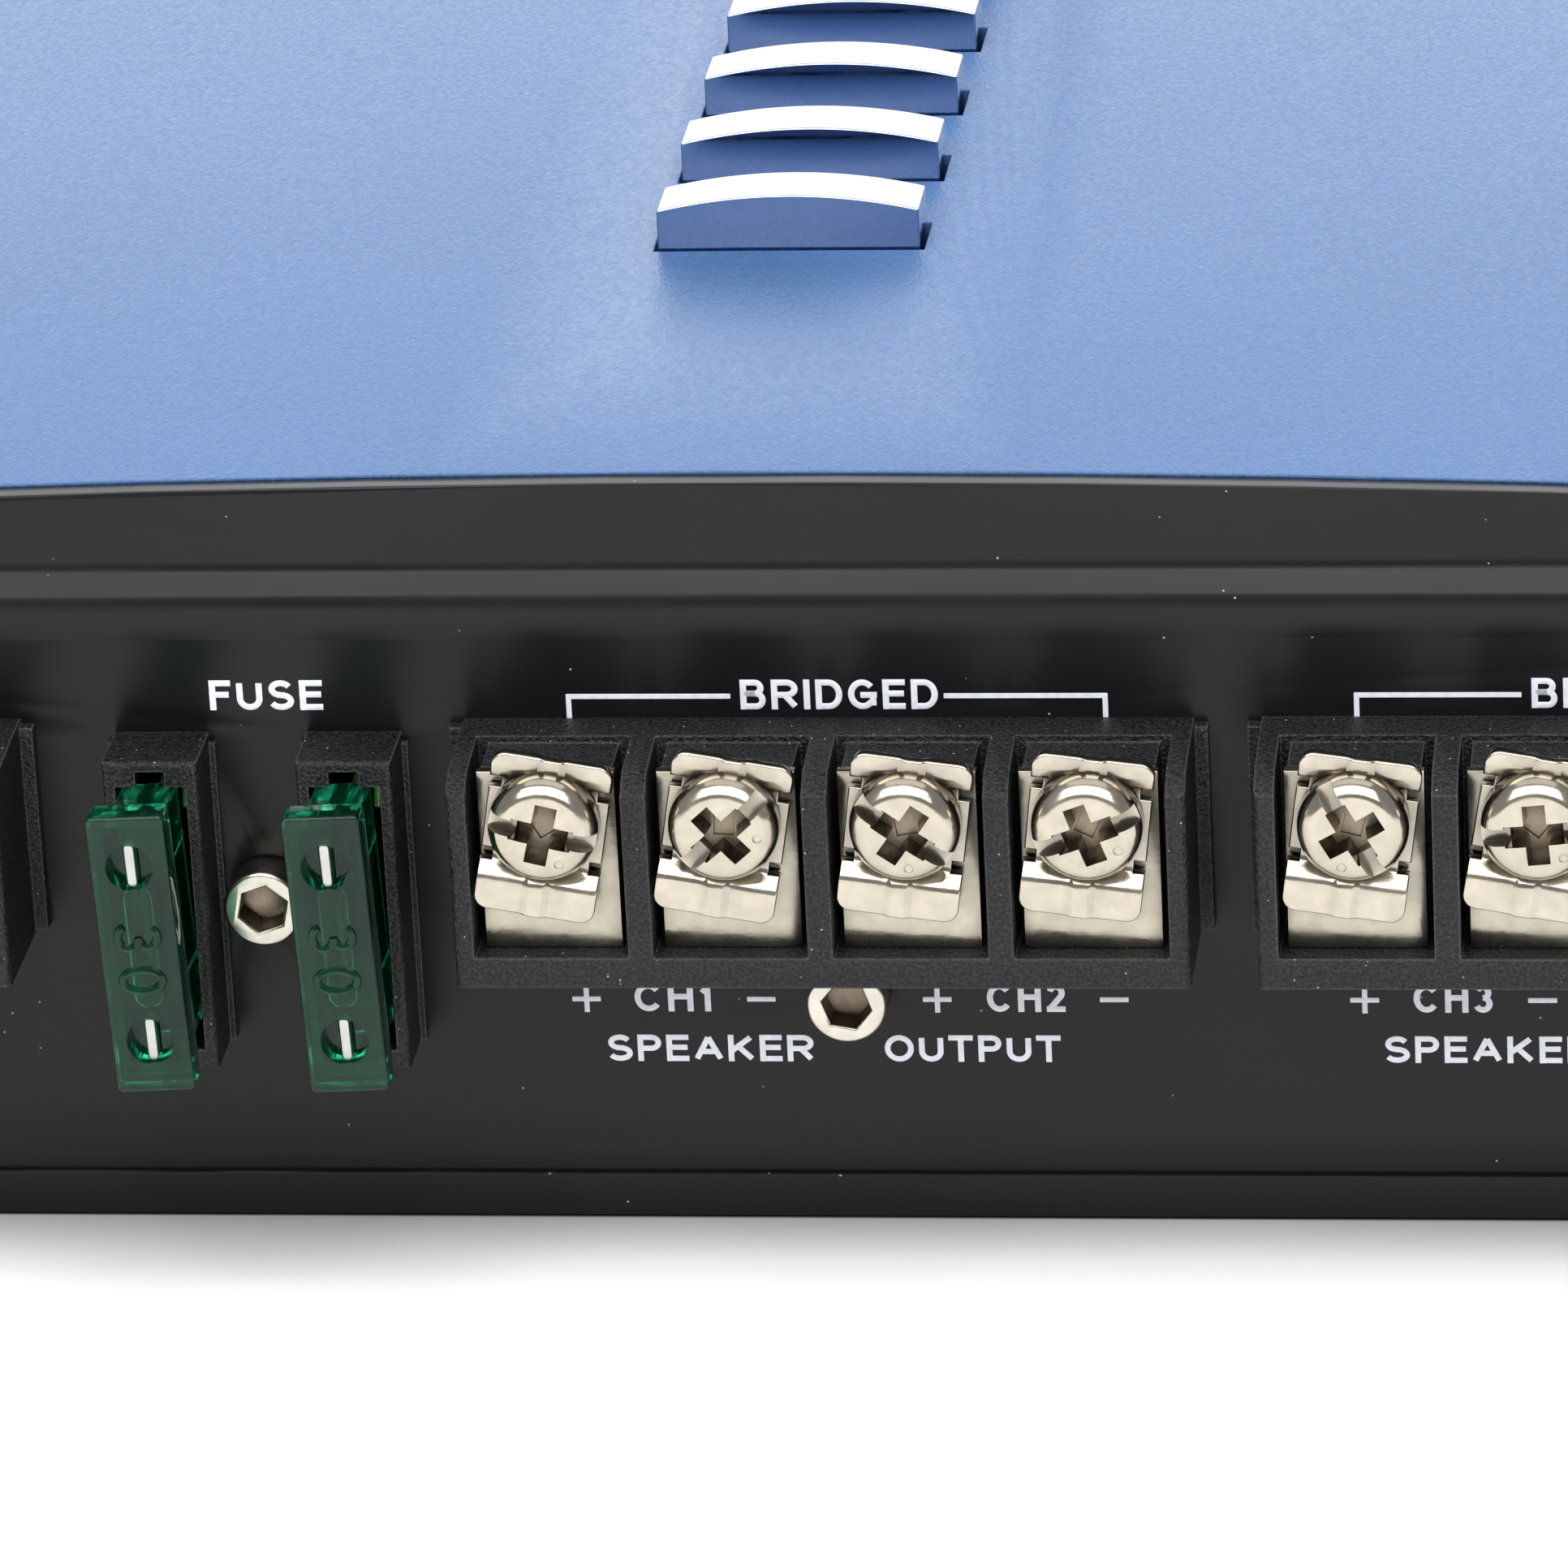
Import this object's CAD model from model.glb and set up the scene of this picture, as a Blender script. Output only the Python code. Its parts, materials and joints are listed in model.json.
"""Car amplifier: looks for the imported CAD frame. Lengths inside the helpers are in millimetres."""
import json
import math

import bmesh
import bpy
from mathutils import Matrix, Vector


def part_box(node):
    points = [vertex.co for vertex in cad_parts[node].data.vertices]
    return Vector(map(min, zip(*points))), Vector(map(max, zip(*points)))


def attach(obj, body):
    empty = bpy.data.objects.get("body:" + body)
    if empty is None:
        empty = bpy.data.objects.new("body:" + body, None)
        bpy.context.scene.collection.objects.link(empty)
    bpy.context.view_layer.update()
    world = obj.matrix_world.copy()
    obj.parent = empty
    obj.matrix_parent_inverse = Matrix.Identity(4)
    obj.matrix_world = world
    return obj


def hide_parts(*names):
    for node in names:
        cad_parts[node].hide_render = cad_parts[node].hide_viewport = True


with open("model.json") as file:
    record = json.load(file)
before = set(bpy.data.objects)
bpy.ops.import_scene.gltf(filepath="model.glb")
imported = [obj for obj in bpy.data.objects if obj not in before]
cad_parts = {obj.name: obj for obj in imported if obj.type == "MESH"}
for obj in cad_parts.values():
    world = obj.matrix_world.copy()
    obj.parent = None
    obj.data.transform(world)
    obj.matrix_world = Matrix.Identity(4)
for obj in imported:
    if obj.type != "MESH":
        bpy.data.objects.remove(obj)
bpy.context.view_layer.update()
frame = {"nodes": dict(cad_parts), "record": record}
MM = 0.001
nodes = frame["nodes"]
CASE = "case"


# ---- Places read from the frame, in millimetres ---------------------------------------------
def low(node):
    return Vector(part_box(node)[0]) / MM


def high(node):
    return Vector(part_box(node)[1]) / MM


def middle(node):
    return (low(node) + high(node)) / 2


front_y = low("front_panel").y
rear_y = high("rear_panel").y
crown_z = high("top_cover").z
clamp_nodes = sorted(n for n in nodes if "_clamp_" in n and n[-1].isdigit())
knob_nodes = sorted(n for n in nodes if n.endswith(("knob_a", "knob_b")))
switch_nodes = sorted(n for n in nodes if n.startswith("filter_switch"))

FRONT = Matrix(((1, 0, 0, 0), (0, 0, -1, 0), (0, 1, 0, 0), (0, 0, 0, 1)))
REAR = Matrix(((-1, 0, 0, 0), (0, 0, 1, 0), (0, 1, 0, 0), (0, 0, 0, 1)))


def place(side, x, y, z, turn=0.0):
    """Matrix that carries a piece drawn in its own X, Y, Z onto a side of the case, in metres."""
    spin = Matrix.Rotation(math.radians(turn), 4, "Z")
    return Matrix.Scale(MM, 4) @ Matrix.Translation((x, y, z)) @ side @ spin


# ---- Materials -------------------------------------------------------------------------------
class Finish:
    """A Principled material with helpers for its procedural detail."""

    def __init__(self, name, color, roughness, metallic=0.0, **sockets):
        self.material = bpy.data.materials.new(name)
        self.material.use_nodes = True
        self.tree = self.material.node_tree
        self.shader = self.tree.nodes["Principled BSDF"]
        self.set("Base Color", (*color, 1.0))
        self.set("Roughness", roughness)
        self.set("Metallic", metallic)
        for socket, value in sockets.items():
            self.set(socket.replace("_", " ").title().replace("Ior", "IOR"), value)
        self.coordinates = self.node("ShaderNodeTexCoord").outputs["Object"]
        self.color = color
        self.bump = None

    def set(self, socket, value):
        self.shader.inputs[socket].default_value = value

    def node(self, kind, **values):
        made = self.tree.nodes.new(kind)
        for key, value in values.items():
            if key in made.inputs:
                made.inputs[key].default_value = value
            else:
                setattr(made, key, value)
        return made

    def link(self, out, into):
        self.tree.links.new(out, into)

    def noise(self, scale, detail=3.0, rough=0.55, stretch=None, seed=0.0):
        texture = self.node("ShaderNodeTexNoise", Scale=scale, Detail=detail, Roughness=rough)
        source = self.coordinates
        if stretch or seed:
            mapping = self.node("ShaderNodeMapping")
            mapping.inputs["Scale"].default_value = stretch or (1, 1, 1)
            mapping.inputs["Location"].default_value = (seed, seed * 0.7, seed * 1.3)
            self.link(source, mapping.inputs["Vector"])
            source = mapping.outputs["Vector"]
        self.link(source, texture.inputs["Vector"])
        return texture.outputs["Fac"]

    def cells(self, scale, seed=0.0):
        texture = self.node("ShaderNodeTexVoronoi", Scale=scale)
        mapping = self.node("ShaderNodeMapping")
        mapping.inputs["Location"].default_value = (seed, seed, seed)
        self.link(self.coordinates, mapping.inputs["Vector"])
        self.link(mapping.outputs["Vector"], texture.inputs["Vector"])
        return texture

    def remap(self, source, low_in, high_in, low_out, high_out):
        made = self.node("ShaderNodeMapRange")
        for index, value in enumerate((low_in, high_in, low_out, high_out), start=1):
            made.inputs[index].default_value = value
        self.link(source, made.inputs[0])
        return made.outputs[0]

    def add_bump(self, height, strength, distance):
        """Stacks a bump layer on the ones made before it. distance is in millimetres."""
        bump = self.node("ShaderNodeBump", Strength=strength, Distance=distance * MM)
        self.link(height, bump.inputs["Height"])
        if self.bump:
            self.link(self.bump, bump.inputs["Normal"])
        self.bump = bump.outputs["Normal"]
        self.link(self.bump, self.shader.inputs["Normal"])

    def vary(self, source, factor_low, factor_high, low_in=0.3, high_in=0.7):
        """Colour variation: the base colour times a factor that follows source."""
        value = self.remap(source, low_in, high_in, factor_low, factor_high)
        self.tint(value)

    def tint(self, factor):
        mix = self.node("ShaderNodeVectorMath", operation="SCALE")
        current = self.shader.inputs["Base Color"]
        if current.is_linked:
            self.link(current.links[0].from_socket, mix.inputs[0])
        else:
            mix.inputs[0].default_value = self.color
        self.link(factor, mix.inputs["Scale"])
        self.link(mix.outputs[0], current)

    def blend_color(self, factor, color):
        mix = self.node("ShaderNodeMix", data_type="RGBA")
        current = self.shader.inputs["Base Color"]
        if current.is_linked:
            self.link(current.links[0].from_socket, mix.inputs[6])
        else:
            mix.inputs[6].default_value = (*self.color, 1.0)
        mix.inputs[7].default_value = (*color, 1.0)
        self.link(factor, mix.inputs[0])
        self.link(mix.outputs[2], current)

    def rough(self, source, low_value, high_value, low_in=0.3, high_in=0.7):
        value = self.remap(source, low_in, high_in, low_value, high_value)
        self.link(value, self.shader.inputs["Roughness"])

    def dust(self, scale, size, amount, color=(0.75, 0.74, 0.7)):
        """Tiny light specks: small discs in some of the cells of a Voronoi pattern."""
        for seed in (0.0, 3.7):
            cells = self.cells(scale, seed)
            near = self.remap(cells.outputs["Distance"], size * 0.7, size, 1.0, 0.0)
            picked = self.node("ShaderNodeMath", operation="GREATER_THAN")
            split = self.node("ShaderNodeSeparateColor")
            self.link(cells.outputs["Color"], split.inputs[0])
            self.link(split.outputs[0], picked.inputs[0])
            picked.inputs[1].default_value = 1.0 - amount
            both = self.node("ShaderNodeMath", operation="MULTIPLY")
            self.link(near, both.inputs[0])
            self.link(picked.outputs[0], both.inputs[1])
            self.blend_color(both.outputs[0], color)

    def crevices(self, reach, darkest):
        """Grime and shade where another surface is within reach, in millimetres."""
        closeness = self.node("ShaderNodeAmbientOcclusion", samples=8, Distance=reach * MM)
        self.tint(self.remap(closeness.outputs["AO"], 0.35, 0.95, darkest, 1.0))

    def worn_edges(self, color, width):
        """Lighter edges where a bevelled normal turns away from the flat one."""
        bevel = self.node("ShaderNodeBevel", samples=4, Radius=width * MM)
        geometry = self.node("ShaderNodeNewGeometry")
        dot = self.node("ShaderNodeVectorMath", operation="DOT_PRODUCT")
        self.link(bevel.outputs[0], dot.inputs[0])
        self.link(geometry.outputs["Normal"], dot.inputs[1])
        edge = self.remap(dot.outputs["Value"], 0.9, 0.99, 1.0, 0.0)
        self.blend_color(edge, color)


def powder_coat():
    paint = Finish("blue_powder_coat", (0.05, 0.128, 0.30), 0.38, ior=1.5)
    paint.vary(paint.noise(35, 2), 0.97, 1.03)
    paint.vary(paint.noise(4200, 3, 0.6, (1, 0.5, 1), 2.0), 0.88, 1.1)
    paint.rough(paint.noise(2600, 2, stretch=(1, 0.5, 1), seed=1.0), 0.32, 0.46)
    paint.add_bump(paint.noise(3800, 3, 0.6, (1, 0.5, 1)), 0.8, 0.09)
    paint.add_bump(paint.noise(7000, 2, 0.5, (1, 0.5, 1), 5.0), 0.6, 0.04)
    return paint.material


def satin_black(name="satin_black_paint"):
    paint = Finish(name, (0.005, 0.005, 0.006), 0.3, ior=1.34)
    paint.rough(paint.noise(60, 3), 0.25, 0.34)
    paint.add_bump(paint.noise(260, 2, seed=1.0), 0.1, 0.02)
    paint.add_bump(paint.noise(2400, 2, seed=2.0), 0.12, 0.006)
    paint.dust(420, 0.034, 0.5, (0.34, 0.34, 0.33))
    return paint.material


def moulded_black(name="black_moulding", grain=1.0):
    plastic = Finish(name, (0.006, 0.006, 0.007), 0.5, ior=1.38)
    plastic.vary(plastic.noise(4400, 2, seed=7.0), 0.3, 3.4, 0.38, 0.66)
    plastic.rough(plastic.noise(2600, 3), 0.26, 0.52)
    plastic.add_bump(plastic.noise(3900, 3, 0.6), 1.0 * grain, 0.24)
    plastic.add_bump(plastic.noise(1500, 2, seed=4.0), 0.25 * grain, 0.05)
    plastic.dust(1300, 0.085, 0.2, (0.45, 0.44, 0.42))
    plastic.worn_edges((0.07, 0.07, 0.072), 0.22)
    return plastic.material


def nickel(name="nickel_plate", color=(0.54, 0.49, 0.405), low_rough=0.1, high_rough=0.24):
    metal = Finish(name, color, 0.15, metallic=1.0)
    metal.rough(metal.noise(420, 4, 0.6), low_rough, high_rough)
    metal.vary(metal.noise(900, 3, seed=3.0), 0.86, 1.04)
    metal.crevices(1.6, 0.3)
    metal.add_bump(metal.noise(1500, 3, seed=1.0), 0.25, 0.04)
    metal.add_bump(metal.noise(500, 4, stretch=(1, 1, 9), seed=6.0), 0.16, 0.02)
    return metal.material


def polished():
    metal = Finish("mirror_metal", (0.33, 0.40, 0.55), 0.06, metallic=1.0)
    metal.rough(metal.noise(500, 3), 0.03, 0.12)
    metal.add_bump(metal.noise(900, 2, stretch=(1, 1, 4)), 0.1, 0.01)
    return metal.material


def brushed_bright():
    metal = Finish("brushed_bright_metal", (0.48, 0.485, 0.495), 0.34, metallic=0.85)
    metal.rough(metal.noise(800, 4, stretch=(0.2, 6, 1)), 0.26, 0.42)
    metal.add_bump(metal.noise(900, 3, stretch=(0.15, 7, 1), seed=1.0), 0.18, 0.012)
    return metal.material


def green_plastic():
    green = (0.012, 0.27, 0.13)
    plastic = Finish("clear_green_plastic", green, 0.06, ior=1.38, transmission_weight=0.95)
    plastic.rough(plastic.noise(700, 2), 0.03, 0.14)
    plastic.vary(plastic.noise(420, 3, stretch=(1, 1, 0.4), seed=4.0), 0.45, 1.3)
    plastic.add_bump(plastic.noise(360, 2, seed=2.0), 0.35, 0.05)
    return plastic.material


def plain(name, color, roughness, metallic=0.0, grain=700, bump=0.2, depth=0.02, **sockets):
    """Everyday finish: slight colour and gloss variation over a fine grain."""
    finish = Finish(name, color, roughness, metallic, **sockets)
    finish.vary(finish.noise(grain * 0.3, 3, seed=1.0), 0.9, 1.08)
    finish.rough(finish.noise(grain * 0.5, 3, seed=2.0), roughness * 0.8, min(1.0, roughness * 1.25))
    finish.add_bump(finish.noise(grain, 3), bump, depth)
    return finish.material


MATERIALS = {
    "cover_blue": powder_coat(),
    "panel_black": satin_black(),
    "black_paint": satin_black("bottom_black_paint"),
    "black_moulding": moulded_black(),
    "black_steel": plain("black_steel", (0.03, 0.03, 0.032), 0.4, 0.6),
    "nickel": nickel(),
    "zinc": plain("zinc", (0.52, 0.52, 0.5), 0.3, 1.0, 1500),
    "brass": plain("brass", (0.72, 0.54, 0.26), 0.3, 1.0, 900),
    "raw_aluminium": plain("milled_aluminium", (0.72, 0.73, 0.75), 0.35, 1.0, 800),
    "fuse_green": green_plastic(),
    "white_insert": plain("white_plastic", (0.8, 0.8, 0.78), 0.3, 0.0, 400, 0.1),
    "red_insert": plain("red_plastic", (0.55, 0.02, 0.02), 0.3, 0.0, 400, 0.1),
    "lamp_lens": plain("lamp_lens", (0.8, 0.85, 0.82), 0.2, 0.0, 300, 0.1, transmission_weight=0.5),
    "board_green": plain("solder_mask", (0.02, 0.16, 0.06), 0.35, 0.0, 300, 0.2),
    "copper_wire": plain("enamelled_copper", (0.55, 0.2, 0.08), 0.3, 1.0, 500),
    "capacitor_sleeve": plain("capacitor_sleeve", (0.02, 0.03, 0.07), 0.25, 0.0, 400, 0.1),
    "knob_black": moulded_black("knob_plastic", 0.6),
    "polished_metal": polished(),
}
MATERIALS["fin_blue"] = MATERIALS["cover_blue"]
brushed = brushed_bright()
seat_metal = nickel("seat_nickel", (0.48, 0.445, 0.36), 0.14, 0.28)
screw_metal = nickel("screw_nickel", (0.64, 0.61, 0.52), 0.16, 0.3)
recess_metal = nickel("recess_nickel", (0.33, 0.27, 0.20), 0.2, 0.4)
ink = plain("white_ink", (0.72, 0.74, 0.80), 0.55, 0.0, 5000, 0.5, 0.01)


# ---- Mesh helpers ----------------------------------------------------------------------------
def finish_piece(name, mesh, body, material, replaced=(), bevel=0.0, sharp=35.0):
    """Links a mesh whose vertices are already in metres in the row frame."""
    piece = bpy.data.objects.new(name, mesh)
    bpy.context.scene.collection.objects.link(piece)
    for one in material if isinstance(material, (list, tuple)) else [material]:
        mesh.materials.append(one)
    shade(mesh, sharp)
    if bevel:
        add_bevel(piece, bevel, sharp)
    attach(piece, body)
    if replaced:
        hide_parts(*replaced)
    return piece


def shade(mesh, sharp=35.0):
    """Smooth faces, with edges sharper than the angle kept crisp."""
    for polygon in mesh.polygons:
        polygon.use_smooth = True
    mesh.set_sharp_from_angle(angle=math.radians(sharp))


def add_bevel(piece, width, angle=35.0, segments=3):
    modifier = piece.modifiers.new("edge rounding", "BEVEL")
    modifier.width = width * MM
    modifier.segments = segments
    modifier.limit_method = "ANGLE"
    modifier.angle_limit = math.radians(angle)
    modifier.harden_normals = True
    modifier.use_clamp_overlap = True


def dress(node, material, bevel=0.15, angle=35.0):
    """Gives a CAD node its finish, with its flat faces rejoined and its edges rounded."""
    piece = nodes[node]
    piece.data.materials.clear()
    piece.data.materials.append(material)
    weld = piece.modifiers.new("weld", "WELD")
    weld.merge_threshold = 0.002 * MM
    flat = piece.modifiers.new("rejoin flats", "DECIMATE")
    flat.decimate_type = "DISSOLVE"
    flat.angle_limit = math.radians(0.5)
    shade(piece.data, angle)
    if bevel:
        add_bevel(piece, bevel, angle)
    return piece


def mesh_from(build):
    """Runs build on an empty bmesh and returns the finished mesh with outward normals."""
    bm = bmesh.new()
    build(bm)
    bmesh.ops.recalc_face_normals(bm, faces=bm.faces)
    mesh = bpy.data.meshes.new("mesh")
    bm.to_mesh(mesh)
    bm.free()
    return mesh


def circle(radius, steps=64, x=0.0, y=0.0):
    angles = [2 * math.pi * k / steps for k in range(steps)]
    return [(x + radius * math.cos(a), y + radius * math.sin(a)) for a in angles]


def rounded(width, height, radius, x=0.0, y=0.0, steps=8):
    """Outline of a rectangle with round corners."""
    points = []
    for sx, sy, start in ((1, 1, 0), (-1, 1, 90), (-1, -1, 180), (1, -1, 270)):
        for k in range(steps + 1):
            a = math.radians(start + 90 * k / steps)
            cx = sx * (width / 2 - radius)
            cy = sy * (height / 2 - radius)
            points.append((x + cx + radius * math.cos(a), y + cy + radius * math.sin(a)))
    return points


def plate(loops, thickness, bevel=0.1, resolution=3):
    """Flat plate drawn by its outlines, the first outside and the rest holes, from Z 0 up."""
    curve = bpy.data.curves.new("outline", "CURVE")
    curve.dimensions = "2D"
    curve.fill_mode = "BOTH"
    for loop in loops:
        spline = curve.splines.new("POLY")
        spline.points.add(len(loop) - 1)
        for point, (x, y) in zip(spline.points, loop):
            point.co = (x, y, 0, 1)
        spline.use_cyclic_u = True
    curve.extrude = thickness / 2 - bevel
    curve.bevel_depth = bevel
    curve.bevel_resolution = resolution
    curve.offset = -bevel
    holder = bpy.data.objects.new("outline", curve)
    mesh = bpy.data.meshes.new_from_object(holder)
    bpy.data.objects.remove(holder)
    mesh.transform(Matrix.Translation((0, 0, thickness / 2)))
    weld(mesh, 0.001)
    return mesh


def weld(mesh, distance):
    bm = bmesh.new()
    bm.from_mesh(mesh)
    bmesh.ops.remove_doubles(bm, verts=bm.verts, dist=distance)
    bmesh.ops.recalc_face_normals(bm, faces=bm.faces)
    bm.to_mesh(mesh)
    bm.free()


def lathe(profile, steps=64):
    """Solid of revolution about Z from (radius, height) points that start and end on the axis."""
    def build(bm):
        rings = []
        for radius, height in profile:
            if radius < 1e-6:
                rings.append([bm.verts.new((0, 0, height))])
            else:
                rings.append([bm.verts.new((x, y, height)) for x, y in circle(radius, steps)])
        for lower, upper in zip(rings, rings[1:]):
            for k in range(steps):
                n = (k + 1) % steps
                if len(lower) == 1 and len(upper) > 1:
                    bm.faces.new((lower[0], upper[n], upper[k]))
                elif len(upper) == 1 and len(lower) > 1:
                    bm.faces.new((lower[k], lower[n], upper[0]))
                elif len(upper) > 1:
                    bm.faces.new((lower[k], lower[n], upper[n], upper[k]))
    return mesh_from(build)


def join(*meshes):
    """One mesh from several."""
    bm = bmesh.new()
    for mesh in meshes:
        bm.from_mesh(mesh)
    joined = bpy.data.meshes.new("joined")
    bm.to_mesh(joined)
    bm.free()
    return joined


def moved(mesh, matrix):
    copy = mesh.copy()
    copy.transform(matrix)
    return copy


def shift(mesh, x, y, z, turn=0.0):
    return moved(mesh, Matrix.Translation((x, y, z)) @ Matrix.Rotation(math.radians(turn), 4, "Z"))


def cut(mesh, *cutters):
    """mesh less the cutters."""
    return boolean("DIFFERENCE", mesh, *cutters)


def boolean(operation, mesh, *cutters):
    """Exact boolean of a mesh with the others."""
    target = bpy.data.objects.new("target", mesh)
    bpy.context.scene.collection.objects.link(target)
    tools = []
    for cutter in cutters:
        tool = bpy.data.objects.new("cutter", cutter)
        bpy.context.scene.collection.objects.link(tool)
        modifier = target.modifiers.new("cut", "BOOLEAN")
        modifier.object = tool
        modifier.operation = operation
        modifier.solver = "EXACT"
        tools.append(tool)
    graph = bpy.context.evaluated_depsgraph_get()
    result = bpy.data.meshes.new_from_object(target.evaluated_get(graph))
    for one in [target, *tools]:
        bpy.data.objects.remove(one)
    weld(result, 0.002)
    return result


def wedge(points_low, z_low, points_high, z_high):
    """Solid between two outlines with the same number of points."""
    def build(bm):
        lower = [bm.verts.new((x, y, z_low)) for x, y in points_low]
        upper = [bm.verts.new((x, y, z_high)) for x, y in points_high]
        bm.faces.new(lower[::-1])
        bm.faces.new(upper)
        count = len(lower)
        for k in range(count):
            n = (k + 1) % count
            bm.faces.new((lower[k], lower[n], upper[n], upper[k]))
    return mesh_from(build)


def arc(cx, cy, rx, ry, start, end, steps=14):
    """Points along part of an ellipse, in degrees."""
    angles = [math.radians(start + (end - start) * k / steps) for k in range(steps + 1)]
    return [(cx + rx * math.cos(a), cy + ry * math.sin(a)) for a in angles]


BOWL = arc(0.6, 0.74, 0.4, 0.26, 90, -90)
ROUND_S = arc(0.5, 0.75, 0.46, 0.25, 25, 270) + arc(0.5, 0.25, 0.5, 0.25, 90, -158)[1:]
# Plain block letters: width over height, then the middle lines of the strokes in a unit box.
GLYPHS = {
    "A": (0.86, [[(0, 0), (0.5, 1)], [(0.5, 1), (1, 0)], [(0.2, 0.33), (0.8, 0.33)]]),
    "B": (0.74, [[(0, 0), (0, 1)], [(0, 1), *arc(0.62, 0.77, 0.3, 0.23, 90, -90), (0, 0.54)],
                 [(0, 0.54), *arc(0.66, 0.27, 0.34, 0.27, 90, -90), (0, 0)]]),
    "C": (0.82, [arc(0.5, 0.5, 0.5, 0.5, 38, 322, 24)]),
    "D": (0.78, [[(0, 0), (0, 1)], [(0, 1), *arc(0.48, 0.5, 0.52, 0.5, 90, -90), (0, 0)]]),
    "E": (0.66, [[(0, 0), (0, 1)], [(0, 1), (1, 1)], [(0, 0.53), (0.92, 0.53)], [(0, 0), (1, 0)]]),
    "F": (0.62, [[(0, 0), (0, 1)], [(0, 1), (1, 1)], [(0, 0.52), (0.86, 0.52)]]),
    "G": (0.84, [arc(0.5, 0.5, 0.5, 0.5, 40, 322, 24), [(0.97, 0.16), (0.97, 0.47)],
                 [(1, 0.47), (0.55, 0.47)]]),
    "H": (0.74, [[(0, 0), (0, 1)], [(1, 0), (1, 1)], [(0, 0.53), (1, 0.53)]]),
    "I": (0.18, [[(0.5, 0), (0.5, 1)]]),
    "K": (0.78, [[(0, 0), (0, 1)], [(0.95, 1), (0.02, 0.36)], [(0.34, 0.58), (1, 0)]]),
    "M": (0.9, [[(0, 0), (0, 1)], [(0, 1), (0.5, 0.05)], [(0.5, 0.05), (1, 1)], [(1, 0), (1, 1)]]),
    "N": (0.76, [[(0, 0), (0, 1)], [(0, 1), (1, 0)], [(1, 0), (1, 1)]]),
    "O": (0.88, [arc(0.5, 0.5, 0.5, 0.5, 0, 360, 32)]),
    "P": (0.7, [[(0, 0), (0, 1)], [(0, 1), *BOWL, (0, 0.48)]]),
    "R": (0.78, [[(0, 0), (0, 1)], [(0, 1), *BOWL, (0, 0.48)], [(0.5, 0.48), (1, 0)]]),
    "S": (0.74, [ROUND_S]),
    "T": (0.74, [[(0, 1), (1, 1)], [(0.5, 0), (0.5, 1)]]),
    "U": (0.74, [[(0, 1), (0, 0.36), *arc(0.5, 0.36, 0.5, 0.36, 180, 360)[1:], (1, 1)]]),
    "V": (0.84, [[(0, 1), (0.5, 0)], [(0.5, 0), (1, 1)]]),
    "W": (1.1, [[(0, 1), (0.25, 0)], [(0.25, 0), (0.5, 1)], [(0.5, 1), (0.75, 0)], [(0.75, 0), (1, 1)]]),
    "0": (0.58, [arc(0.5, 0.5, 0.5, 0.5, 0, 360, 32)]),
    "1": (0.4, [[(0.78, 0), (0.78, 1)], [(0.78, 0.98), (0.1, 0.7)]]),
    "2": (0.6, [[*arc(0.5, 0.72, 0.48, 0.28, 165, -30), (0.02, 0.02)], [(0, 0), (1, 0)]]),
    "3": (0.6, [arc(0.46, 0.76, 0.44, 0.24, 155, -88), arc(0.46, 0.27, 0.52, 0.27, 88, -158)]),
    "4": (0.64, [[(0.74, 0), (0.74, 1)], [(0.74, 0.98), (0.02, 0.27)], [(0, 0.27), (1, 0.27)]]),
    "+": (0.9, [[(0, 0.5), (1, 0.5)], [(0.5, 0.06), (0.5, 0.94)]]),
    "-": (0.9, [[(0, 0.5), (1, 0.5)]]),
}


STROKE_SHARE = 0.2
GAP_SHARE = 0.18


def lettering(text, width, height, thickness=0.05, stroke=None):
    """Plain printed letters, drawn to a width and a height, middle at the origin."""
    stroke = stroke or STROKE_SHARE * height
    inner = height - stroke
    gap = GAP_SHARE * height
    natural = sum(GLYPHS[letter][0] for letter in text)
    stretch = (width - gap * (len(text) - 1)) / natural
    curve = bpy.data.curves.new("text", "CURVE")
    curve.dimensions = "3D"
    curve.bevel_depth = stroke / 2
    curve.bevel_resolution = 2
    curve.use_fill_caps = True
    x = -width / 2
    for letter in text:
        wide = GLYPHS[letter][0] * stretch
        for line in GLYPHS[letter][1]:
            spline = curve.splines.new("POLY")
            spline.points.add(len(line) - 1)
            for point, (u, v) in zip(spline.points, line):
                px = x + stroke / 2 + u * (wide - stroke)
                point.co = (px, v * inner - inner / 2, 0, 1)
            if len(line) == 2:
                lengthen(spline, stroke / 2)
        x += wide + gap
    holder = bpy.data.objects.new("text", curve)
    mesh = bpy.data.meshes.new_from_object(holder)
    bpy.data.objects.remove(holder)
    mesh.transform(Matrix.Diagonal((1, 1, thickness / stroke, 1)))
    return mesh


def lengthen(spline, amount):
    """Runs a straight stroke on past its ends by half a stroke, so that corners close square."""
    start, end = (Vector(point.co[:2]) for point in spline.points)
    along = (end - start).normalized()
    if abs(along.x) < 0.01 or abs(along.y) < 0.01:
        spline.points[0].co = (*(start - along * amount), 0, 1)
        spline.points[1].co = (*(end + along * amount), 0, 1)


# ---- Camera, floor and light ----------------------------------------------------------------
VIEW_AZIMUTH = 7.38
VIEW_ELEVATION = 22.59
VIEW_ROLL = -2.90
VIEW_DISTANCE = 630.5
VIEW_TARGET = Vector((3.66, front_y, 30.55))
LENS = 225.0


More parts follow.
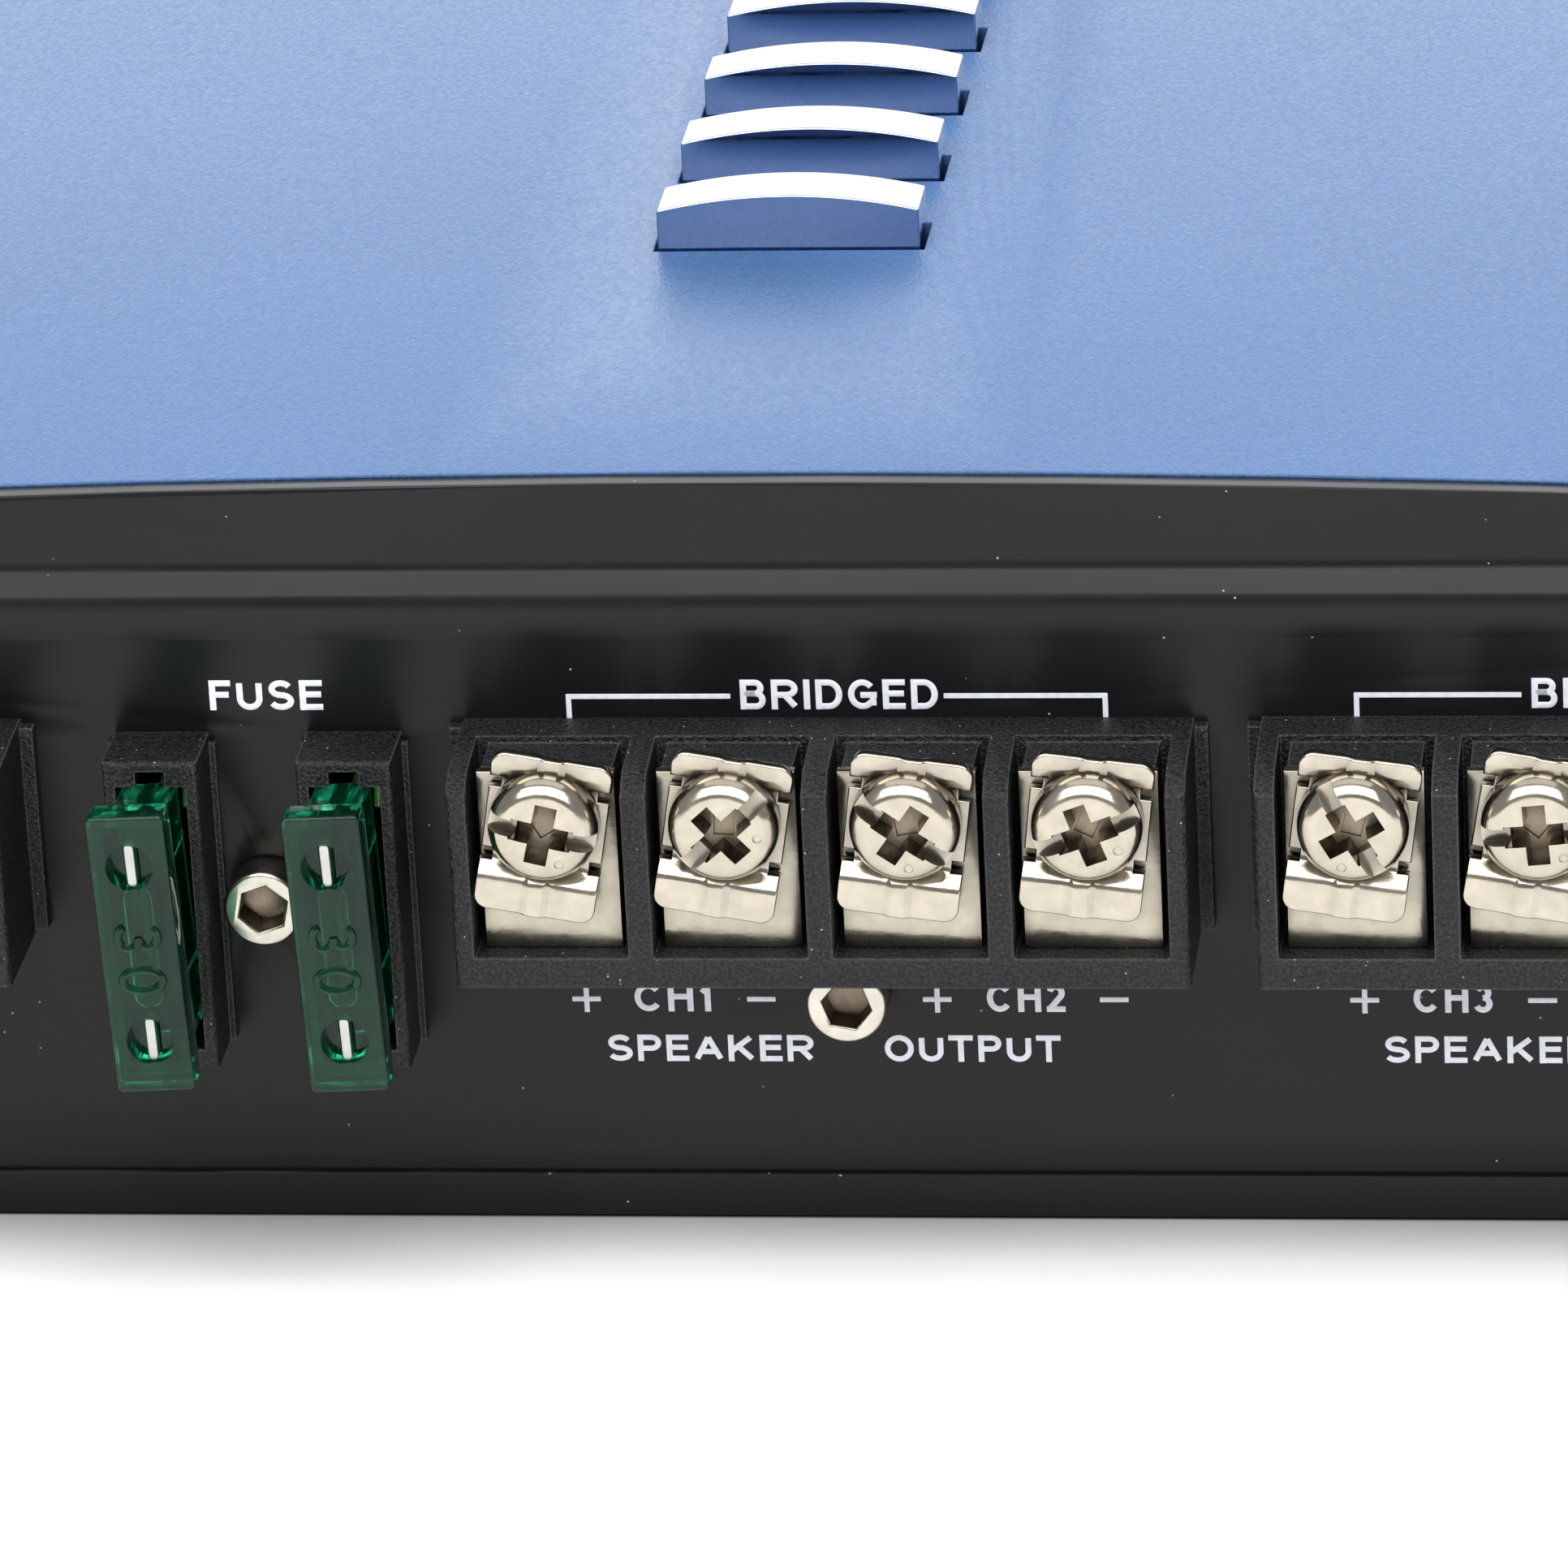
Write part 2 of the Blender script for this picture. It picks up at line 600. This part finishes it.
def make_camera():
    a, e, r = (math.radians(v) for v in (VIEW_AZIMUTH, VIEW_ELEVATION, VIEW_ROLL))
    back = Vector((math.sin(a) * math.cos(e), -math.cos(a) * math.cos(e), math.sin(e)))
    level = (-back).cross(Vector((0, 0, 1))).normalized()
    up = level.cross(-back)
    right = level * math.cos(r) + up * math.sin(r)
    up = -level * math.sin(r) + up * math.cos(r)
    data = bpy.data.cameras.new("camera")
    data.lens = LENS
    data.sensor_width = 36.0
    data.clip_start = 0.01
    data.clip_end = 100.0
    camera = bpy.data.objects.new("camera", data)
    rotation = Matrix((right, up, back)).transposed().to_4x4()
    camera.matrix_world = Matrix.Translation((VIEW_TARGET + back * VIEW_DISTANCE) * MM) @ rotation
    bpy.context.scene.collection.objects.link(camera)
    bpy.context.scene.camera = camera


def area_light(name, location, target, size, power, color=(1, 1, 1)):
    data = bpy.data.lights.new(name, "AREA")
    data.shape = "RECTANGLE"
    data.size, data.size_y = size
    data.energy = power
    data.color = color
    light = bpy.data.objects.new(name, data)
    direction = Vector(target) - Vector(location)
    light.rotation_mode = "QUATERNION"
    light.rotation_quaternion = direction.to_track_quat("-Z", "Y")
    light.location = location
    bpy.context.scene.collection.objects.link(light)


def white_paper():
    """Pale floor that darkens softly where something stands close to it."""
    paper = Finish("white_paper", (0.93, 0.93, 0.93), 0.7)
    paper.add_bump(paper.noise(40, 2), 0.05, 0.02)
    closeness = paper.node("ShaderNodeAmbientOcclusion", samples=12, Distance=0.017)
    strength = paper.node("ShaderNodeMath", operation="POWER")
    paper.link(closeness.outputs["AO"], strength.inputs[0])
    strength.inputs[1].default_value = 1.15
    paper.tint(strength.outputs[0])
    return paper.material


def make_studio():
    world = bpy.data.worlds.new("studio")
    bpy.context.scene.world = world
    world.use_nodes = True
    background = world.node_tree.nodes["Background"]
    background.inputs["Color"].default_value = (1.0, 1.0, 1.0, 1.0)
    background.inputs["Strength"].default_value = 0.35
    area_light("front_softbox", (0.0, -0.95, 1.2), (0, -0.2, 0), (2.2, 1.4), 43.0)
    area_light("top_softbox", (0.0, 0.35, 1.4), (0, 0.1, 0), (1.6, 0.8), 3.0)
    area_light("backdrop", (0.0, 1.5, 0.7), (0, 0, 0.1), (3.2, 1.5), 27.0)
    floor_mesh = mesh_from(lambda bm: bmesh.ops.create_grid(bm, x_segments=8, y_segments=8, size=6.0))
    floor = bpy.data.objects.new("floor", floor_mesh)
    bpy.context.scene.collection.objects.link(floor)
    floor_mesh.materials.append(white_paper())
    floor.location.z = -0.0002
    bpy.context.scene.view_settings.view_transform = "Standard"


# ---- CAD pieces that keep their shape --------------------------------------------------------
BEVELS = {
    "front_panel": 0.04, "rear_panel": 0.2, "bottom_plate": 0.3, "heat_sink": 0.25, "top_cover": 0.1,
    "power_block": 0.18, "speaker_a_block": 0.18, "speaker_b_block": 0.18,
    "fuse_holder_1": 0.14, "fuse_holder_2": 0.14, "jack_housing": 0.3,
    "power_terminals": 0.08, "speaker_a_terminals": 0.08, "speaker_b_terminals": 0.08,
}
slot_of = {s["node"]: s["material_slot"] for s in frame["record"]["subparts"]}


def dress_frame():
    for node in nodes:
        slot_name = slot_of[node]
        material = seat_metal if node.endswith("_terminals") else MATERIALS[slot_name]
        dress(node, material, BEVELS.get(node, 0.1))


# ---- Emblem bars -----------------------------------------------------------------------------
def emblem_bar(width, depth, side_rise, crown_rise, base):
    """Bar with a domed top, drawn lying along X."""
    sagitta = crown_rise - side_rise
    radius = ((width / 2) ** 2 + sagitta**2) / (2 * sagitta)
    steps = 32
    xs = [(width / 2) * (2 * k / steps - 1) for k in range(steps + 1)]
    outline = [(x, crown_rise - radius + math.sqrt(radius**2 - x**2)) for x in xs]
    outline = [(width / 2, base), (-width / 2, base)] + outline

    def build(bm):
        near = [bm.verts.new((x, 0, z)) for x, z in outline]
        far = [bm.verts.new((x, depth, z)) for x, z in outline]
        bm.faces.new(near)
        bm.faces.new(far[::-1])
        for k in range(len(outline)):
            n = (k + 1) % len(outline)
            bm.faces.new((near[k], far[k], far[n], near[n]))
    return mesh_from(build)


BAR_COUNT = 12
BAR_PITCH = 14.0
BAR_WIDTH = 17.9
BAR_DEPTH = 4.9
BAR_SAGITTA = 1.05
FIRST_BAR = 45.1


def make_emblem():
    """Plain level bars in place of any name."""
    lo, hi = low("emblem_bars"), high("emblem_bars")
    base = lo.z + 0.9 - crown_z
    crown_rise = hi.z - crown_z
    shape = emblem_bar(BAR_WIDTH, BAR_DEPTH, crown_rise - BAR_SAGITTA, crown_rise, base)
    bars = []
    for k in range(BAR_COUNT):
        bars.append(shift(shape, 0, front_y + FIRST_BAR + k * BAR_PITCH, crown_z))
    strip = shift(plate([rounded(22, 165, 2)], 1.2, 0.1), 0, middle("emblem_bars").y, lo.z)
    mesh = join(*bars, strip)
    mesh.transform(Matrix.Scale(MM, 4))
    piece = finish_piece(
        "emblem_level_bars", mesh, CASE, [MATERIALS["polished_metal"], brushed],
        ["emblem_bars"], bevel=0.14, sharp=30,
    )
    for polygon in piece.data.polygons:
        polygon.material_index = 1 if polygon.normal.z > 0.6 else 0


# ---- Clamp screws and washers ----------------------------------------------------------------
WASHER_WIDTH = 7.8
WASHER_UP = 4.6
WASHER_DOWN = 6.1
WASHER_THICKNESS = 0.8
WASHER_HOLE = 1.95
FLAP_START = 2.6
UPPER_FLAP_START = 2.3
# Lines along which the washer's faces are split, so that the bends and the rib have vertices.
RIB_LINES = (-2.6, -1.3, -0.9, -0.68, -0.45, 0.45, 0.68, 0.9, 1.3, 2.6)
BEND_LINES = (
    -5.4, -4.7, -4.1, -3.8, -3.5, -3.2, -2.9, -2.6, 2.3, 2.6, 2.9, 3.2, 3.6, 4.0,
)
PAN_RADIUS = 3.55
PAN_HEIGHT = 2.5
SCREW_TURNS = (8, -38, 12, -14, 42, -35, 20, -60, 5, 33, -22)
SEAT_FRONT = 7.85
WASHER_GAP = 0.1
CLAMP_Z = 31.7
WASHER_Z = CLAMP_Z - 0.2
TERMINAL_PITCH = 11.56


def clamp_middles():
    """X of every clamp screw: even steps about the middle of its terminal block."""
    places = {}
    for prefix in ("power", "speaker_a", "speaker_b"):
        members = [n for n in clamp_nodes if n.startswith(prefix + "_clamp")]
        block = middle(prefix + "_block").x
        for index, node in enumerate(members):
            places[node] = block + (index - (len(members) - 1) / 2) * TERMINAL_PITCH
    return places


def washer_outline():
    """Rounded rectangle with two notches in each side, counter-clockwise."""
    half, up, down, corner = WASHER_WIDTH / 2, WASHER_UP, WASHER_DOWN, 0.9
    deep, reach = 0.75, 0.375
    points = []

    def round_corner(cx, cy, start):
        points.extend(arc(cx, cy, corner, corner, start, start + 90, 6))

    def notch(side, y, direction):
        for x, dy in ((half, -reach), (half - deep, -reach), (half - deep, reach), (half, reach)):
            points.append((side * x, y + direction * dy))

    notch(1, -FLAP_START, 1)
    notch(1, 2.4, 1)
    round_corner(half - corner, up - corner, 0)
    round_corner(-half + corner, up - corner, 90)
    notch(-1, 2.4, -1)
    notch(-1, -FLAP_START, -1)
    round_corner(-half + corner, -down + corner, 180)
    round_corner(half - corner, -down + corner, 270)
    return points


def smooth(t):
    """Eased step from 0 to 1."""
    t = max(0.0, min(1.0, t))
    return t * t * (3 - 2 * t)


def washer_rise(x, y):
    """How far the bent flaps and the rib stand proud at a spot of the washer."""
    rise = 0.0
    if y < -FLAP_START:
        rise = 0.8 * smooth((-FLAP_START - y) / 1.5) + 0.04 * (-FLAP_START - y)
    if y > UPPER_FLAP_START:
        rise = 0.5 * smooth((y - UPPER_FLAP_START) / 1.3)
    ridge = max(0.0, 1.0 - max(0.0, abs(x) - 0.45) / 0.45)
    reach = max(0.0, min(1.0, (abs(y + 0.1) - 2.9) / 0.5))
    return rise + 0.26 * ridge * reach


def washer_mesh():
    mesh = plate([washer_outline(), circle(WASHER_HOLE, 48)[::-1]], WASHER_THICKNESS, 0.14)
    bm = bmesh.new()
    bm.from_mesh(mesh)
    for values, normal in ((RIB_LINES, (1, 0, 0)), (BEND_LINES, (0, 1, 0))):
        for value in values:
            point = tuple(value * n for n in normal)
            geometry = bm.verts[:] + bm.edges[:] + bm.faces[:]
            bmesh.ops.bisect_plane(bm, geom=geometry, plane_co=point, plane_no=normal)
    for vertex in bm.verts:
        vertex.co.z += washer_rise(vertex.co.x, vertex.co.y)
    bmesh.ops.recalc_face_normals(bm, faces=bm.faces)
    bm.to_mesh(mesh)
    bm.free()
    return mesh


def pan_head():
    """Pan head with a cross recess, a driver slot across it and a small dimple."""
    shoulder = 1.15
    profile = [(0, -8.6), (1.45, -8.6), (1.75, -8.2), (1.75, 0)]
    profile += [(PAN_RADIUS - 0.12, 0), (PAN_RADIUS, 0.12)]
    for k in range(11):
        a = math.radians(9 * k)
        radius = PAN_RADIUS - shoulder * (1 - math.cos(a))
        profile.append((radius, 0.9 + (PAN_HEIGHT - 0.98) * math.sin(a)))
    profile += [(1.4, PAN_HEIGHT), (0, PAN_HEIGHT)]
    head = lathe(profile, 72)
    top = PAN_HEIGHT + 0.2
    cutters = []
    for turn in (0, 90):
        floor_outline = [(-1.5, -0.56), (1.5, -0.56), (1.5, 0.56), (-1.5, 0.56)]
        rim_outline = [(-2.1, -0.74), (2.1, -0.74), (2.1, 0.74), (-2.1, 0.74)]
        cutters.append(shift(wedge(floor_outline, 0.75, rim_outline, top), 0, 0, 0, turn))
    flare = [(0.9, 0), (0, 0.9), (-0.9, 0), (0, -0.9)]
    wide = [(1.45, 0), (0, 1.45), (-1.45, 0), (0, -1.45)]
    cutters.append(wedge(flare, 0.6, wide, top))
    groove = [(-4, -0.57), (4, -0.57), (4, 0.57), (-4, 0.57)]
    cutters.append(wedge(groove, PAN_HEIGHT - 1.2, groove, top))
    pit = lathe([(0, -0.3), (0.3, -0.3), (0.42, 0.3), (0, 0.3)], 24)
    cutters.append(shift(pit, 1.55, -1.7, PAN_HEIGHT + 0.15))
    return cut(head, *cutters)


def darken_recess(piece, matrix):
    """Deep faces of the recess take the duller recess finish."""
    back = matrix.inverted()
    for polygon in piece.data.polygons:
        spot = back @ polygon.center
        deep = 0.5 < spot.z < PAN_HEIGHT - 0.8 and math.hypot(spot.x, spot.y) < 2.15
        polygon.material_index = 1 if deep else 0


def make_clamps():
    washer, head = washer_mesh(), pan_head()
    clamp_x = clamp_middles()
    washer_back = front_y - SEAT_FRONT - WASHER_GAP
    for node, turn in zip(clamp_nodes, SCREW_TURNS):
        x = clamp_x[node]
        washer_turn = -8.5 + 1.5 * math.sin(turn)
        matrix = place(FRONT, x, washer_back, WASHER_Z, washer_turn)
        finish_piece(
            node + "_washer", moved(washer, matrix), node, MATERIALS["nickel"], [node], sharp=28,
        )
        matrix = place(FRONT, x, low(node).y + PAN_HEIGHT, CLAMP_Z, turn)
        finishes = [MATERIALS["nickel"], recess_metal]
        screw = finish_piece(
            node + "_screw", moved(head, matrix), node, finishes, [node], bevel=0.05, sharp=28,
        )
        darken_recess(screw, matrix)


# ---- Socket screws ---------------------------------------------------------------------------
HEX_FLATS = 2.8
SOCKET_RADIUS = 2.55
SOCKET_HEIGHT = 3.0


def socket_head():
    """Round head with a hexagon socket, whose walls and floor take the duller finish."""
    hexagon = circle(HEX_FLATS / math.sqrt(3), 6)[::-1]
    ring = plate([circle(SOCKET_RADIUS, 72), hexagon], SOCKET_HEIGHT, 0.26, 5)
    for polygon in ring.polygons:
        near_axis = math.hypot(polygon.center.x, polygon.center.y) < 1.66
        polygon.material_index = 1 if near_axis and abs(polygon.normal.z) < 0.5 else 0
    well = lathe([(0, 0.02), (2.2, 0.02), (2.2, 0.9), (1.0, 0.9), (0, 0.4)], 48)
    for polygon in well.polygons:
        polygon.material_index = 1
    return join(ring, well)


def make_socket_screws():
    head = socket_head()
    for side, node, y in ((FRONT, "front_panel_screws", front_y), (REAR, "rear_panel_screws", rear_y)):
        heads = []
        for number, (x, z) in enumerate(screw_places(node)):
            heads.append(moved(head, place(side, x, y, z, 17 + 31 * number)))
        mesh = join(*heads)
        name = node.replace("panel_screws", "socket_screws")
        finish_piece(name, mesh, CASE, [screw_metal, recess_metal], [node], sharp=30)


def screw_places(node):
    """Middles of the separate screws in a node, as (X, Z)."""
    mesh = nodes[node].data
    bm = bmesh.new()
    bm.from_mesh(mesh)
    bmesh.ops.remove_doubles(bm, verts=bm.verts, dist=1e-6)
    seen, places = set(), []
    for start in bm.verts:
        if start in seen:
            continue
        stack, group = [start], []
        seen.add(start)
        while stack:
            vertex = stack.pop()
            group.append(vertex.co.copy())
            for edge in vertex.link_edges:
                other = edge.other_vert(vertex)
                if other not in seen:
                    seen.add(other)
                    stack.append(other)
        xs = [p.x for p in group]
        zs = [p.z for p in group]
        places.append(((min(xs) + max(xs)) / 2 / MM, (min(zs) + max(zs)) / 2 / MM))
    bm.free()
    return sorted(places)


# ---- Fuses -----------------------------------------------------------------------------------
FUSE_LEAN = 2.4
FUSE_LENGTH = 19.1
FUSE_WIDTH = 5.05
FUSE_HEAD = 2.4
BLADE_GAP = 12.1
RATING_RISE = 0.26


def fuse_shell():
    """Head with two windows and a raised rating, and the narrower hollow body behind it."""
    head = plate([rounded(FUSE_WIDTH, FUSE_LENGTH, 0.35)], FUSE_HEAD, 0.2)
    waist = plate([rounded(3.7, 16.4, 0.4)], 7.4, 0.15)
    well = lathe([(0, 0), (1.5, 0), (1.65, 3), (0, 3)], 40)
    wells = [shift(well, 0, s * BLADE_GAP / 2, -1.1) for s in (-1, 1)]
    pockets = [plate([rounded(1.0, 3.3, 0.3, 0, s * BLADE_GAP / 2)], 9, 0.1) for s in (-1, 1)]
    hollow = plate([rounded(1.9, 8.4, 0.8)], 8, 0.3)
    cutters = wells + [shift(m, 0, 0, -9.8) for m in pockets] + [shift(hollow, 0, 0, -9.6)]
    body = boolean("UNION", shift(head, 0, 0, -FUSE_HEAD), shift(waist, 0, 0, -FUSE_HEAD - 6.6))
    rating = []
    for text, y in (("3", 1.2), ("0", -1.75)):
        rating.append(shift(lettering(text, 2.1, 3.2, 0.5, 0.6), 0, y, 0, -90))
    return join(cut(body, *cutters), *rating)


def fuse_metal():
    """Two blades with rounded test points, and the link that joins them inside the body."""
    parts = []
    for side in (-1, 1):
        outline = rounded(0.65, 3.0, 0.3, 0, side * BLADE_GAP / 2)
        parts.append(shift(plate([outline], 22.6, 0.1), 0, 0, -23.0))
    arch = []
    for k in range(13):
        a = math.pi * k / 12
        arch.append((5.0 * math.cos(a), 2.2 * math.sin(a)))
    inner = [(x * 0.8, y * 0.6) for x, y in arch[::-1]]
    link = plate([arch + inner], 0.4, 0.05)
    upright = Matrix.Rotation(math.radians(90), 4, "Y") @ Matrix.Rotation(math.radians(90), 4, "Z")
    link.transform(Matrix.Translation((-0.2, 0, -6.0)) @ upright)
    return join(*parts, link)


def make_fuses():
    shell, metal = fuse_shell(), fuse_metal()
    green, zinc = MATERIALS["fuse_green"], MATERIALS["zinc"]
    for number in (1, 2):
        body = f"fuse_{number}"
        centre = middle(body + "_body")
        face = low(body + "_body").y + RATING_RISE
        matrix = place(FRONT, centre.x, face, centre.z, FUSE_LEAN)
        clear, blades = moved(shell, matrix), moved(metal, matrix)
        finish_piece(body + "_clear_body", clear, body, green, [body + "_body"], sharp=30)
        finish_piece(body + "_metal", blades, body, zinc, [body + "_blades"], sharp=30)


# ---- Printing --------------------------------------------------------------------------------
LEGEND_STEP = 50.65
INK_DEPTH = 0.03
INK_CLEARANCE = 0.012
INK_LINE = 0.34
HEADING_Z = 36.8
CHANNEL_Z, CHANNEL_HEIGHT = 15.53, 2.0
GROUP_Z, GROUP_HEIGHT = 11.92, 1.88
SIGN_Z, SIGN_WIDTH, SIGN_HEIGHT = 15.4, 1.86, 2.06
BRACKET_Z, BRACKET_LEFT, BRACKET_RIGHT = 36.67, -10.18, 24.76
BRACKET_LEG_Z, BRACKET_LEG = 35.83, 1.34
KNOB_SWEEP, KNOB_TICKS, KNOB_TICK_RADIUS = 280, 11, 5.6
SWITCH_TRAVEL = 2.4


def ink_bar(x, z, width, height):
    return shift(plate([rounded(width, height, 0.04)], INK_DEPTH, 0.004, 1), x, z, 0)


def legend(text, x, z, width, height, stroke=None):
    return shift(lettering(text, width, height, stroke=stroke), x, z, 0)


def ink_span(left, right, z):
    return ink_bar((left + right) / 2, z, right - left, INK_LINE)


def legend_set(shift_x, first, second):
    """Legends of one speaker block: bridging bracket above, channels and polarity below."""
    parts = [legend("BRIDGED", 7.49 + shift_x, 36.78, 12.75, 2.05)]
    parts.append(ink_span(BRACKET_LEFT + shift_x, 0.48 + shift_x, BRACKET_Z))
    parts.append(ink_span(14.24 + shift_x, BRACKET_RIGHT + shift_x, BRACKET_Z))
    for x in (BRACKET_LEFT + INK_LINE / 2, BRACKET_RIGHT - INK_LINE / 2):
        parts.append(ink_bar(x + shift_x, BRACKET_LEG_Z, INK_LINE, BRACKET_LEG))
    for name, x in ((first, -4.29), (second, 18.73)):
        parts.append(legend(name, x + shift_x, CHANNEL_Z, 5.1, CHANNEL_HEIGHT))
    for sign, x in (("+", -9.99), ("-", 1.46), ("+", 12.95), ("-", 24.46)):
        parts.append(legend(sign, x + shift_x, SIGN_Z, SIGN_WIDTH, SIGN_HEIGHT, INK_LINE))
    for text, x, wide in (("SPEAKER", -2.03, 13.53), ("OUTPUT", 15.13, 11.5)):
        parts.append(legend(text, x + shift_x, GROUP_Z, wide, GROUP_HEIGHT))
    return parts


def front_legends():
    parts = legend_set(0, "CH1", "CH2") + legend_set(LEGEND_STEP, "CH3", "CH4")
    parts.append(legend("FUSE", -29.7, HEADING_Z, 7.4, 2.07))
    block = middle("power_block").x
    for text, wide, index in (("+12V", 6.2, -1), ("REM", 5.0, 0), ("GND", 5.2, 1)):
        x = block + index * TERMINAL_PITCH
        parts.append(legend(text, x, CHANNEL_Z, wide, CHANNEL_HEIGHT))
    parts.append(legend("POWER", block, GROUP_Z, 10.2, GROUP_HEIGHT))
    return parts


def rear_ticks():
    parts = []
    for node in knob_nodes:
        centre = middle(node)
        for k in range(KNOB_TICKS):
            a = math.radians(KNOB_SWEEP * (k / (KNOB_TICKS - 1) - 0.5))
            length = 1.1 if k in (0, KNOB_TICKS // 2, KNOB_TICKS - 1) else 0.7
            turn = Matrix.Translation((-centre.x, centre.z, 0)) @ Matrix.Rotation(-a, 4, "Z")
            parts.append(moved(ink_bar(0, KNOB_TICK_RADIUS, 0.3, length), turn))
    for node in switch_nodes:
        centre = middle(node)
        for dx in (-SWITCH_TRAVEL, 0, SWITCH_TRAVEL):
            parts.append(ink_bar(-centre.x + dx, centre.z + 3.4, 0.3, 1.0))
    return parts


def make_legends():
    """Printing on both end panels, just clear of the paint."""
    for name, parts, side, y in (
        ("front_printing", front_legends(), FRONT, front_y - INK_CLEARANCE),
        ("rear_printing", rear_ticks(), REAR, rear_y + INK_CLEARANCE),
    ):
        mesh = moved(join(*parts), place(side, 0, y, 0))
        finish_piece(name, mesh, CASE, ink, sharp=40)


make_camera()
make_studio()
dress_frame()
make_emblem()
make_clamps()
make_socket_screws()
make_fuses()
make_legends()
